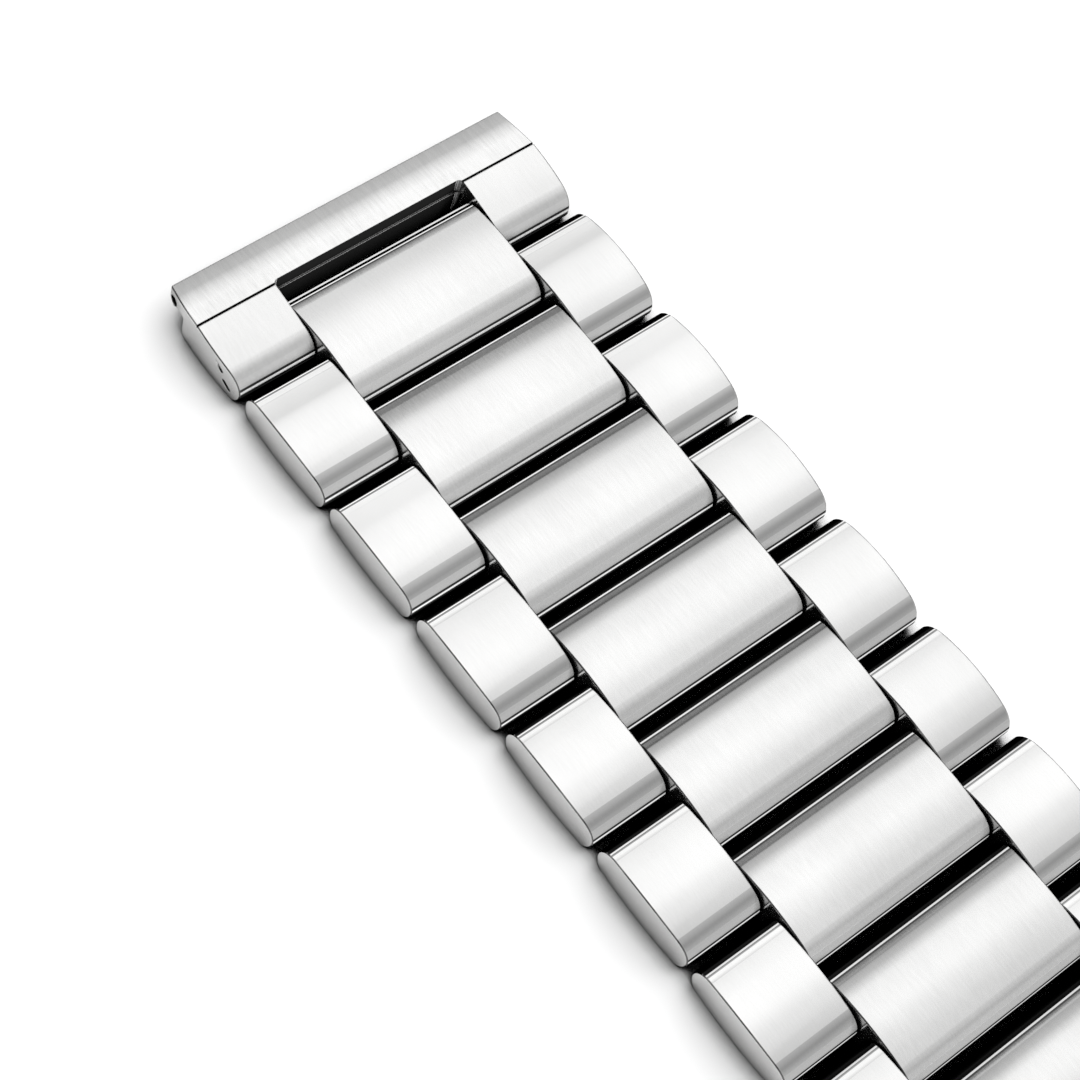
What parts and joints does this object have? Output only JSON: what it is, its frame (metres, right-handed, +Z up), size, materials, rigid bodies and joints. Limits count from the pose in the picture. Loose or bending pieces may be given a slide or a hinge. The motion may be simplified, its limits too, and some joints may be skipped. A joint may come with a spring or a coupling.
{
  "type": "metal link watch bracelet with folding clasp",
  "caption": "Three-row steel link watch bracelet with solid end links, pinned links that hinge and a folding push-button clasp, laid out flat.",
  "frame": {"origin": "under the middle of the laid-out bracelet, on the surface it lies on", "axes": "+X along the bracelet from the end link of half A to the end link of half B, +Y across it, +Z up"},
  "size_m": [0.1476, 0.024, 0.0043],
  "materials": {
    "link_steel": "fine brushing along the bracelet on top and sides",
    "cover_steel": "fine brushing along the bracelet",
    "blade_steel": "plain rolled sheet, lightly brushed",
    "pin_steel": "ground and polished",
    "button_steel": "polished",
    "spring_steel": "drawn wire"
  },
  "bodies": {
    "clasp_cover": {"clasp_cover": "cover_steel", "clasp_hinge_pin": "pin_steel", "latch_block": "pin_steel", "spring_bar_tube": "pin_steel", "spring_bar_spring": "spring_steel", "button_spring_left": "spring_steel", "button_spring_right": "spring_steel"},
    "spring_bar_tip_left": {"spring_bar_tip_left": "pin_steel"},
    "spring_bar_tip_right": {"spring_bar_tip_right": "pin_steel"},
    "push_button_left": {"push_button_left": "button_steel"},
    "push_button_right": {"push_button_right": "button_steel"},
    "middle_blade": {"middle_blade": "blade_steel", "blade_pin": "pin_steel"},
    "lower_blade": {"lower_blade": "blade_steel"},
    "clasp_end_link_a": {"clasp_end_link_a": "link_steel"},
    "clasp_end_link_b": {"clasp_end_link_b": "link_steel", "strap_pin": "pin_steel"},
    "row_a8": {"outer_links_a8": "link_steel", "link_pins_a8": "pin_steel"},
    "centre_link_a8": {"centre_link_a8": "link_steel"},
    "row_a7": {"outer_links_a7": "link_steel", "link_pins_a7": "pin_steel"},
    "centre_link_a7": {"centre_link_a7": "link_steel"},
    "row_a6": {"outer_links_a6": "link_steel", "link_pins_a6": "pin_steel"},
    "centre_link_a6": {"centre_link_a6": "link_steel"},
    "row_a5": {"outer_links_a5": "link_steel", "link_pins_a5": "pin_steel"},
    "centre_link_a5": {"centre_link_a5": "link_steel"},
    "row_a4": {"outer_links_a4": "link_steel", "link_pins_a4": "pin_steel"},
    "centre_link_a4": {"centre_link_a4": "link_steel"},
    "row_a3": {"outer_links_a3": "link_steel", "link_pins_a3": "pin_steel"},
    "centre_link_a3": {"centre_link_a3": "link_steel"},
    "row_a2": {"outer_links_a2": "link_steel", "link_pins_a2": "pin_steel"},
    "centre_link_a2": {"centre_link_a2": "link_steel"},
    "row_a1": {"outer_links_a1": "link_steel", "link_pins_a1": "pin_steel"},
    "centre_link_a1": {"centre_link_a1": "link_steel"},
    "end_link_a": {"end_link_a": "link_steel", "end_link_pin_a": "pin_steel"},
    "row_b5": {"outer_links_b5": "link_steel", "link_pins_b5": "pin_steel"},
    "centre_link_b5": {"centre_link_b5": "link_steel"},
    "row_b4": {"outer_links_b4": "link_steel", "link_pins_b4": "pin_steel"},
    "centre_link_b4": {"centre_link_b4": "link_steel"},
    "row_b3": {"outer_links_b3": "link_steel", "link_pins_b3": "pin_steel"},
    "centre_link_b3": {"centre_link_b3": "link_steel"},
    "row_b2": {"outer_links_b2": "link_steel", "link_pins_b2": "pin_steel"},
    "centre_link_b2": {"centre_link_b2": "link_steel"},
    "row_b1": {"outer_links_b1": "link_steel", "link_pins_b1": "pin_steel"},
    "centre_link_b1": {"centre_link_b1": "link_steel"},
    "end_link_b": {"end_link_b": "link_steel", "end_link_pin_b": "pin_steel"}
  },
  "joints": [
    {"name": "push_button_left_press", "type": "slide", "parent": "clasp_cover", "child": "push_button_left", "axis": [0, 1, 0], "range_m": [0, 0.0008], "stiffness_N_per_m": 150, "springref_m": -0.0006, "deforming": ["button_spring_left"]},
    {"name": "push_button_right_press", "type": "slide", "parent": "clasp_cover", "child": "push_button_right", "axis": [0, -1, 0], "range_m": [0, 0.0008], "stiffness_N_per_m": 150, "springref_m": -0.0006, "deforming": ["button_spring_right"]},
    {"name": "spring_bar_tip_left_press", "type": "slide", "parent": "clasp_cover", "child": "spring_bar_tip_left", "axis": [0, 1, 0], "range_m": [0, 0.001], "stiffness_N_per_m": 150, "springref_m": -0.001, "deforming": ["spring_bar_spring"]},
    {"name": "spring_bar_tip_right_press", "type": "slide", "parent": "clasp_cover", "child": "spring_bar_tip_right", "axis": [0, -1, 0], "range_m": [0, 0.001], "stiffness_N_per_m": 150, "springref_m": -0.001, "deforming": ["spring_bar_spring"]},
    {"name": "clasp_end_link_a_hinge", "type": "hinge", "parent": "clasp_cover", "child": "clasp_end_link_a", "pos_m": [-0.00696, 0, 0.00115], "axis": [0, 1, 0], "range_deg": [-15, 5]},
    {"name": "row_a8_hinge", "type": "hinge", "parent": "clasp_end_link_a", "child": "row_a8", "pos_m": [-0.01051, 0, 0.00115], "axis": [0, 1, 0], "range_deg": [-15, 5]},
    {"name": "centre_link_a8_hinge", "type": "hinge", "parent": "row_a8", "child": "centre_link_a8", "pos_m": [-0.01415, 0, 0.00115], "axis": [0, 1, 0], "range_deg": [-15, 5]},
    {"name": "row_a7_hinge", "type": "hinge", "parent": "centre_link_a8", "child": "row_a7", "pos_m": [-0.01779, 0, 0.00115], "axis": [0, 1, 0], "range_deg": [-15, 5]},
    {"name": "centre_link_a7_hinge", "type": "hinge", "parent": "row_a7", "child": "centre_link_a7", "pos_m": [-0.02143, 0, 0.00115], "axis": [0, 1, 0], "range_deg": [-15, 5]},
    {"name": "row_a6_hinge", "type": "hinge", "parent": "centre_link_a7", "child": "row_a6", "pos_m": [-0.02507, 0, 0.00115], "axis": [0, 1, 0], "range_deg": [-15, 5]},
    {"name": "centre_link_a6_hinge", "type": "hinge", "parent": "row_a6", "child": "centre_link_a6", "pos_m": [-0.02871, 0, 0.00115], "axis": [0, 1, 0], "range_deg": [-15, 5]},
    {"name": "row_a5_hinge", "type": "hinge", "parent": "centre_link_a6", "child": "row_a5", "pos_m": [-0.03235, 0, 0.00115], "axis": [0, 1, 0], "range_deg": [-15, 5]},
    {"name": "centre_link_a5_hinge", "type": "hinge", "parent": "row_a5", "child": "centre_link_a5", "pos_m": [-0.03599, 0, 0.00115], "axis": [0, 1, 0], "range_deg": [-15, 5]},
    {"name": "row_a4_hinge", "type": "hinge", "parent": "centre_link_a5", "child": "row_a4", "pos_m": [-0.03963, 0, 0.00115], "axis": [0, 1, 0], "range_deg": [-15, 5]},
    {"name": "centre_link_a4_hinge", "type": "hinge", "parent": "row_a4", "child": "centre_link_a4", "pos_m": [-0.04327, 0, 0.00115], "axis": [0, 1, 0], "range_deg": [-15, 5]},
    {"name": "row_a3_hinge", "type": "hinge", "parent": "centre_link_a4", "child": "row_a3", "pos_m": [-0.04691, 0, 0.00115], "axis": [0, 1, 0], "range_deg": [-15, 5]},
    {"name": "centre_link_a3_hinge", "type": "hinge", "parent": "row_a3", "child": "centre_link_a3", "pos_m": [-0.05055, 0, 0.00115], "axis": [0, 1, 0], "range_deg": [-15, 5]},
    {"name": "row_a2_hinge", "type": "hinge", "parent": "centre_link_a3", "child": "row_a2", "pos_m": [-0.05419, 0, 0.00115], "axis": [0, 1, 0], "range_deg": [-15, 5]},
    {"name": "centre_link_a2_hinge", "type": "hinge", "parent": "row_a2", "child": "centre_link_a2", "pos_m": [-0.05783, 0, 0.00115], "axis": [0, 1, 0], "range_deg": [-15, 5]},
    {"name": "row_a1_hinge", "type": "hinge", "parent": "centre_link_a2", "child": "row_a1", "pos_m": [-0.06147, 0, 0.00115], "axis": [0, 1, 0], "range_deg": [-15, 5]},
    {"name": "centre_link_a1_hinge", "type": "hinge", "parent": "row_a1", "child": "centre_link_a1", "pos_m": [-0.06511, 0, 0.00115], "axis": [0, 1, 0], "range_deg": [-15, 5]},
    {"name": "end_link_a_hinge", "type": "hinge", "parent": "centre_link_a1", "child": "end_link_a", "pos_m": [-0.06875, 0, 0.00115], "axis": [0, 1, 0], "range_deg": [-15, 5]},
    {"name": "middle_blade_hinge", "type": "hinge", "parent": "clasp_cover", "child": "middle_blade", "pos_m": [0.02604, 0, 0.0021], "axis": [0, -1, 0], "range_deg": [0, 100]},
    {"name": "lower_blade_hinge", "type": "hinge", "parent": "middle_blade", "child": "lower_blade", "pos_m": [0.00504, 0, 0.00105], "axis": [0, 1, 0], "range_deg": [0, 135]},
    {"name": "clasp_end_link_b_hinge", "type": "hinge", "parent": "lower_blade", "child": "clasp_end_link_b", "pos_m": [0.02915, 0, 0.00115], "axis": [0, -1, 0], "range_deg": [-15, 5]},
    {"name": "row_b5_hinge", "type": "hinge", "parent": "clasp_end_link_b", "child": "row_b5", "pos_m": [0.03235, 0, 0.00115], "axis": [0, -1, 0], "range_deg": [-15, 5]},
    {"name": "centre_link_b5_hinge", "type": "hinge", "parent": "row_b5", "child": "centre_link_b5", "pos_m": [0.03599, 0, 0.00115], "axis": [0, -1, 0], "range_deg": [-15, 5]},
    {"name": "row_b4_hinge", "type": "hinge", "parent": "centre_link_b5", "child": "row_b4", "pos_m": [0.03963, 0, 0.00115], "axis": [0, -1, 0], "range_deg": [-15, 5]},
    {"name": "centre_link_b4_hinge", "type": "hinge", "parent": "row_b4", "child": "centre_link_b4", "pos_m": [0.04327, 0, 0.00115], "axis": [0, -1, 0], "range_deg": [-15, 5]},
    {"name": "row_b3_hinge", "type": "hinge", "parent": "centre_link_b4", "child": "row_b3", "pos_m": [0.04691, 0, 0.00115], "axis": [0, -1, 0], "range_deg": [-15, 5]},
    {"name": "centre_link_b3_hinge", "type": "hinge", "parent": "row_b3", "child": "centre_link_b3", "pos_m": [0.05055, 0, 0.00115], "axis": [0, -1, 0], "range_deg": [-15, 5]},
    {"name": "row_b2_hinge", "type": "hinge", "parent": "centre_link_b3", "child": "row_b2", "pos_m": [0.05419, 0, 0.00115], "axis": [0, -1, 0], "range_deg": [-15, 5]},
    {"name": "centre_link_b2_hinge", "type": "hinge", "parent": "row_b2", "child": "centre_link_b2", "pos_m": [0.05783, 0, 0.00115], "axis": [0, -1, 0], "range_deg": [-15, 5]},
    {"name": "row_b1_hinge", "type": "hinge", "parent": "centre_link_b2", "child": "row_b1", "pos_m": [0.06147, 0, 0.00115], "axis": [0, -1, 0], "range_deg": [-15, 5]},
    {"name": "centre_link_b1_hinge", "type": "hinge", "parent": "row_b1", "child": "centre_link_b1", "pos_m": [0.06511, 0, 0.00115], "axis": [0, -1, 0], "range_deg": [-15, 5]},
    {"name": "end_link_b_hinge", "type": "hinge", "parent": "centre_link_b1", "child": "end_link_b", "pos_m": [0.06875, 0, 0.00115], "axis": [0, -1, 0], "range_deg": [-15, 5]}
  ]
}
